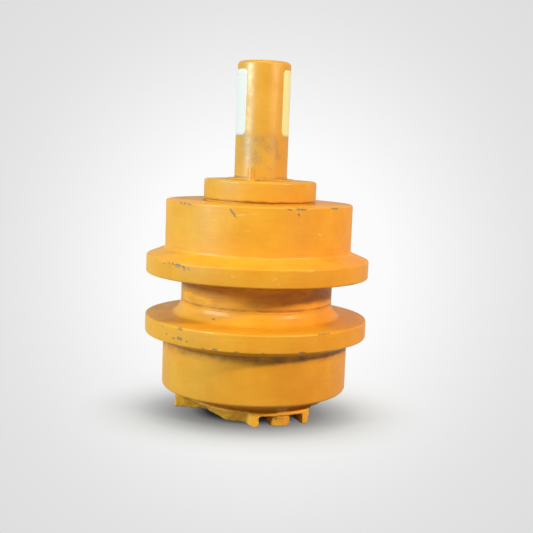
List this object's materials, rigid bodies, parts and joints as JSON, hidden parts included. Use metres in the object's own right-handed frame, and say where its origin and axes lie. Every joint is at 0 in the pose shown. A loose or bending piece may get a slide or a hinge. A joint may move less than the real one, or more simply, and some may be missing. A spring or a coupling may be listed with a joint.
{
  "type": "carrier roller",
  "caption": "Carrier roller with a twin-flange shell on a sealed tapered-bearing shaft, a dowelled seal collar and a bolted end cap with bolt guards.",
  "frame": {"origin": "on the roller's axis, in the plane of the feet of the end cap's bolt guards, on which it stands", "axes": "+Z along the axis from the end cap to the bracket's end of the shaft, -Y is the front"},
  "size_m": [0.2752, 0.2752, 0.4277],
  "materials": {
    "shell_paint": "satin yellow-orange paint",
    "shaft_paint": "satin yellow-orange paint",
    "collar_paint": "satin yellow-orange paint",
    "cap_paint": "paint on rough cast iron",
    "fastener_paint": "painted over with the cap",
    "bearing_steel": "ground",
    "cage_steel": "pressed, phosphated",
    "seal_iron": "lapped on the face",
    "seal_rubber": "matt",
    "nut_steel": "blackened",
    "copper": "annealed copper"
  },
  "bodies": {
    "shaft": {"shaft": "shaft_paint", "seal_collar": "collar_paint", "dowel_pin": "shaft_paint", "collar_o_ring": "seal_rubber", "fixed_seal_ring": "seal_iron", "fixed_seal_rubber": "seal_rubber", "inner_bearing_cone": "bearing_steel", "outer_bearing_cone": "bearing_steel", "shaft_nut": "nut_steel", "tab_washer": "nut_steel"},
    "roller": {"roller_shell": "shell_paint", "running_seal_ring": "seal_iron", "running_seal_rubber": "seal_rubber", "inner_bearing_cup": "bearing_steel", "outer_bearing_cup": "bearing_steel", "end_cap": "cap_paint", "cap_o_ring": "seal_rubber", "cap_bolt_1": "fastener_paint", "cap_bolt_2": "fastener_paint", "cap_bolt_3": "fastener_paint", "spring_washer_1": "fastener_paint", "spring_washer_2": "fastener_paint", "spring_washer_3": "fastener_paint", "oil_plug": "fastener_paint", "oil_plug_washer": "copper"},
    "inner_cage": {"inner_bearing_cage": "cage_steel"},
    "outer_cage": {"outer_bearing_cage": "cage_steel"},
    "inner_roller_01": {"inner_roller_01": "bearing_steel"},
    "inner_roller_02": {"inner_roller_02": "bearing_steel"},
    "inner_roller_03": {"inner_roller_03": "bearing_steel"},
    "inner_roller_04": {"inner_roller_04": "bearing_steel"},
    "inner_roller_05": {"inner_roller_05": "bearing_steel"},
    "inner_roller_06": {"inner_roller_06": "bearing_steel"},
    "inner_roller_07": {"inner_roller_07": "bearing_steel"},
    "inner_roller_08": {"inner_roller_08": "bearing_steel"},
    "inner_roller_09": {"inner_roller_09": "bearing_steel"},
    "inner_roller_10": {"inner_roller_10": "bearing_steel"},
    "inner_roller_11": {"inner_roller_11": "bearing_steel"},
    "inner_roller_12": {"inner_roller_12": "bearing_steel"},
    "inner_roller_13": {"inner_roller_13": "bearing_steel"},
    "inner_roller_14": {"inner_roller_14": "bearing_steel"},
    "inner_roller_15": {"inner_roller_15": "bearing_steel"},
    "inner_roller_16": {"inner_roller_16": "bearing_steel"},
    "outer_roller_01": {"outer_roller_01": "bearing_steel"},
    "outer_roller_02": {"outer_roller_02": "bearing_steel"},
    "outer_roller_03": {"outer_roller_03": "bearing_steel"},
    "outer_roller_04": {"outer_roller_04": "bearing_steel"},
    "outer_roller_05": {"outer_roller_05": "bearing_steel"},
    "outer_roller_06": {"outer_roller_06": "bearing_steel"},
    "outer_roller_07": {"outer_roller_07": "bearing_steel"},
    "outer_roller_08": {"outer_roller_08": "bearing_steel"},
    "outer_roller_09": {"outer_roller_09": "bearing_steel"},
    "outer_roller_10": {"outer_roller_10": "bearing_steel"},
    "outer_roller_11": {"outer_roller_11": "bearing_steel"},
    "outer_roller_12": {"outer_roller_12": "bearing_steel"},
    "outer_roller_13": {"outer_roller_13": "bearing_steel"},
    "outer_roller_14": {"outer_roller_14": "bearing_steel"},
    "outer_roller_15": {"outer_roller_15": "bearing_steel"},
    "outer_roller_16": {"outer_roller_16": "bearing_steel"}
  },
  "joints": [
    {"name": "roller_spin", "type": "hinge", "parent": "shaft", "child": "roller", "pos_m": [0, 0, 0.1418], "axis": [0, 0, 1], "continuous": true},
    {"name": "inner_cage_spin", "type": "hinge", "parent": "shaft", "child": "inner_cage", "pos_m": [0, 0, 0.2189], "axis": [0, 0, 1], "continuous": true},
    {"name": "inner_roller_01_spin", "type": "hinge", "parent": "inner_cage", "child": "inner_roller_01", "pos_m": [0.04519, 0, 0.22057], "axis": [0.2229, 0, 0.9748], "continuous": true},
    {"name": "inner_roller_02_spin", "type": "hinge", "parent": "inner_cage", "child": "inner_roller_02", "pos_m": [0.04175, 0.01729, 0.22057], "axis": [0.206, 0.0853, 0.9748], "continuous": true},
    {"name": "inner_roller_03_spin", "type": "hinge", "parent": "inner_cage", "child": "inner_roller_03", "pos_m": [0.03195, 0.03195, 0.22057], "axis": [0.1576, 0.1576, 0.9748], "continuous": true},
    {"name": "inner_roller_04_spin", "type": "hinge", "parent": "inner_cage", "child": "inner_roller_04", "pos_m": [0.01729, 0.04175, 0.22057], "axis": [0.0853, 0.206, 0.9748], "continuous": true},
    {"name": "inner_roller_05_spin", "type": "hinge", "parent": "inner_cage", "child": "inner_roller_05", "pos_m": [0, 0.04519, 0.22057], "axis": [0, 0.2229, 0.9748], "continuous": true},
    {"name": "inner_roller_06_spin", "type": "hinge", "parent": "inner_cage", "child": "inner_roller_06", "pos_m": [-0.01729, 0.04175, 0.22057], "axis": [-0.0853, 0.206, 0.9748], "continuous": true},
    {"name": "inner_roller_07_spin", "type": "hinge", "parent": "inner_cage", "child": "inner_roller_07", "pos_m": [-0.03195, 0.03195, 0.22057], "axis": [-0.1576, 0.1576, 0.9748], "continuous": true},
    {"name": "inner_roller_08_spin", "type": "hinge", "parent": "inner_cage", "child": "inner_roller_08", "pos_m": [-0.04175, 0.01729, 0.22057], "axis": [-0.206, 0.0853, 0.9748], "continuous": true},
    {"name": "inner_roller_09_spin", "type": "hinge", "parent": "inner_cage", "child": "inner_roller_09", "pos_m": [-0.04519, 0, 0.22057], "axis": [-0.2229, 0, 0.9748], "continuous": true},
    {"name": "inner_roller_10_spin", "type": "hinge", "parent": "inner_cage", "child": "inner_roller_10", "pos_m": [-0.04175, -0.01729, 0.22057], "axis": [-0.206, -0.0853, 0.9748], "continuous": true},
    {"name": "inner_roller_11_spin", "type": "hinge", "parent": "inner_cage", "child": "inner_roller_11", "pos_m": [-0.03195, -0.03195, 0.22057], "axis": [-0.1576, -0.1576, 0.9748], "continuous": true},
    {"name": "inner_roller_12_spin", "type": "hinge", "parent": "inner_cage", "child": "inner_roller_12", "pos_m": [-0.01729, -0.04175, 0.22057], "axis": [-0.0853, -0.206, 0.9748], "continuous": true},
    {"name": "inner_roller_13_spin", "type": "hinge", "parent": "inner_cage", "child": "inner_roller_13", "pos_m": [0, -0.04519, 0.22057], "axis": [0, -0.2229, 0.9748], "continuous": true},
    {"name": "inner_roller_14_spin", "type": "hinge", "parent": "inner_cage", "child": "inner_roller_14", "pos_m": [0.01729, -0.04175, 0.22057], "axis": [0.0853, -0.206, 0.9748], "continuous": true},
    {"name": "inner_roller_15_spin", "type": "hinge", "parent": "inner_cage", "child": "inner_roller_15", "pos_m": [0.03195, -0.03195, 0.22057], "axis": [0.1576, -0.1576, 0.9748], "continuous": true},
    {"name": "inner_roller_16_spin", "type": "hinge", "parent": "inner_cage", "child": "inner_roller_16", "pos_m": [0.04175, -0.01729, 0.22057], "axis": [0.206, -0.0853, 0.9748], "continuous": true},
    {"name": "outer_cage_spin", "type": "hinge", "parent": "shaft", "child": "outer_cage", "pos_m": [0, 0, 0.0722], "axis": [0, 0, 1], "continuous": true},
    {"name": "outer_roller_01_spin", "type": "hinge", "parent": "outer_cage", "child": "outer_roller_01", "pos_m": [0.03785, 0, 0.07085], "axis": [-0.2243, 0, 0.9745], "continuous": true},
    {"name": "outer_roller_02_spin", "type": "hinge", "parent": "outer_cage", "child": "outer_roller_02", "pos_m": [0.03497, 0.01449, 0.07085], "axis": [-0.2073, -0.0858, 0.9745], "continuous": true},
    {"name": "outer_roller_03_spin", "type": "hinge", "parent": "outer_cage", "child": "outer_roller_03", "pos_m": [0.02677, 0.02677, 0.07085], "axis": [-0.1586, -0.1586, 0.9745], "continuous": true},
    {"name": "outer_roller_04_spin", "type": "hinge", "parent": "outer_cage", "child": "outer_roller_04", "pos_m": [0.01449, 0.03497, 0.07085], "axis": [-0.0858, -0.2073, 0.9745], "continuous": true},
    {"name": "outer_roller_05_spin", "type": "hinge", "parent": "outer_cage", "child": "outer_roller_05", "pos_m": [0, 0.03785, 0.07085], "axis": [0, -0.2243, 0.9745], "continuous": true},
    {"name": "outer_roller_06_spin", "type": "hinge", "parent": "outer_cage", "child": "outer_roller_06", "pos_m": [-0.01449, 0.03497, 0.07085], "axis": [0.0858, -0.2073, 0.9745], "continuous": true},
    {"name": "outer_roller_07_spin", "type": "hinge", "parent": "outer_cage", "child": "outer_roller_07", "pos_m": [-0.02677, 0.02677, 0.07085], "axis": [0.1586, -0.1586, 0.9745], "continuous": true},
    {"name": "outer_roller_08_spin", "type": "hinge", "parent": "outer_cage", "child": "outer_roller_08", "pos_m": [-0.03497, 0.01449, 0.07085], "axis": [0.2073, -0.0858, 0.9745], "continuous": true},
    {"name": "outer_roller_09_spin", "type": "hinge", "parent": "outer_cage", "child": "outer_roller_09", "pos_m": [-0.03785, 0, 0.07085], "axis": [0.2243, 0, 0.9745], "continuous": true},
    {"name": "outer_roller_10_spin", "type": "hinge", "parent": "outer_cage", "child": "outer_roller_10", "pos_m": [-0.03497, -0.01449, 0.07085], "axis": [0.2073, 0.0858, 0.9745], "continuous": true},
    {"name": "outer_roller_11_spin", "type": "hinge", "parent": "outer_cage", "child": "outer_roller_11", "pos_m": [-0.02677, -0.02677, 0.07085], "axis": [0.1586, 0.1586, 0.9745], "continuous": true},
    {"name": "outer_roller_12_spin", "type": "hinge", "parent": "outer_cage", "child": "outer_roller_12", "pos_m": [-0.01449, -0.03497, 0.07085], "axis": [0.0858, 0.2073, 0.9745], "continuous": true},
    {"name": "outer_roller_13_spin", "type": "hinge", "parent": "outer_cage", "child": "outer_roller_13", "pos_m": [0, -0.03785, 0.07085], "axis": [0, 0.2243, 0.9745], "continuous": true},
    {"name": "outer_roller_14_spin", "type": "hinge", "parent": "outer_cage", "child": "outer_roller_14", "pos_m": [0.01449, -0.03497, 0.07085], "axis": [-0.0858, 0.2073, 0.9745], "continuous": true},
    {"name": "outer_roller_15_spin", "type": "hinge", "parent": "outer_cage", "child": "outer_roller_15", "pos_m": [0.02677, -0.02677, 0.07085], "axis": [-0.1586, 0.1586, 0.9745], "continuous": true},
    {"name": "outer_roller_16_spin", "type": "hinge", "parent": "outer_cage", "child": "outer_roller_16", "pos_m": [0.03497, -0.01449, 0.07085], "axis": [-0.2073, 0.0858, 0.9745], "continuous": true}
  ],
  "couplings": [
    {"joint": "inner_cage_spin", "follows": "roller_spin", "ratio": 0.5809},
    {"joint": "inner_roller_01_spin", "follows": "roller_spin", "ratio": 2.9337},
    {"joint": "inner_roller_02_spin", "follows": "roller_spin", "ratio": 2.9337},
    {"joint": "inner_roller_03_spin", "follows": "roller_spin", "ratio": 2.9337},
    {"joint": "inner_roller_04_spin", "follows": "roller_spin", "ratio": 2.9337},
    {"joint": "inner_roller_05_spin", "follows": "roller_spin", "ratio": 2.9337},
    {"joint": "inner_roller_06_spin", "follows": "roller_spin", "ratio": 2.9337},
    {"joint": "inner_roller_07_spin", "follows": "roller_spin", "ratio": 2.9337},
    {"joint": "inner_roller_08_spin", "follows": "roller_spin", "ratio": 2.9337},
    {"joint": "inner_roller_09_spin", "follows": "roller_spin", "ratio": 2.9337},
    {"joint": "inner_roller_10_spin", "follows": "roller_spin", "ratio": 2.9337},
    {"joint": "inner_roller_11_spin", "follows": "roller_spin", "ratio": 2.9337},
    {"joint": "inner_roller_12_spin", "follows": "roller_spin", "ratio": 2.9337},
    {"joint": "inner_roller_13_spin", "follows": "roller_spin", "ratio": 2.9337},
    {"joint": "inner_roller_14_spin", "follows": "roller_spin", "ratio": 2.9337},
    {"joint": "inner_roller_15_spin", "follows": "roller_spin", "ratio": 2.9337},
    {"joint": "inner_roller_16_spin", "follows": "roller_spin", "ratio": 2.9337},
    {"joint": "outer_cage_spin", "follows": "roller_spin", "ratio": 0.57723},
    {"joint": "outer_roller_01_spin", "follows": "roller_spin", "ratio": 3.0791},
    {"joint": "outer_roller_02_spin", "follows": "roller_spin", "ratio": 3.0791},
    {"joint": "outer_roller_03_spin", "follows": "roller_spin", "ratio": 3.0791},
    {"joint": "outer_roller_04_spin", "follows": "roller_spin", "ratio": 3.0791},
    {"joint": "outer_roller_05_spin", "follows": "roller_spin", "ratio": 3.0791},
    {"joint": "outer_roller_06_spin", "follows": "roller_spin", "ratio": 3.0791},
    {"joint": "outer_roller_07_spin", "follows": "roller_spin", "ratio": 3.0791},
    {"joint": "outer_roller_08_spin", "follows": "roller_spin", "ratio": 3.0791},
    {"joint": "outer_roller_09_spin", "follows": "roller_spin", "ratio": 3.0791},
    {"joint": "outer_roller_10_spin", "follows": "roller_spin", "ratio": 3.0791},
    {"joint": "outer_roller_11_spin", "follows": "roller_spin", "ratio": 3.0791},
    {"joint": "outer_roller_12_spin", "follows": "roller_spin", "ratio": 3.0791},
    {"joint": "outer_roller_13_spin", "follows": "roller_spin", "ratio": 3.0791},
    {"joint": "outer_roller_14_spin", "follows": "roller_spin", "ratio": 3.0791},
    {"joint": "outer_roller_15_spin", "follows": "roller_spin", "ratio": 3.0791},
    {"joint": "outer_roller_16_spin", "follows": "roller_spin", "ratio": 3.0791}
  ]
}
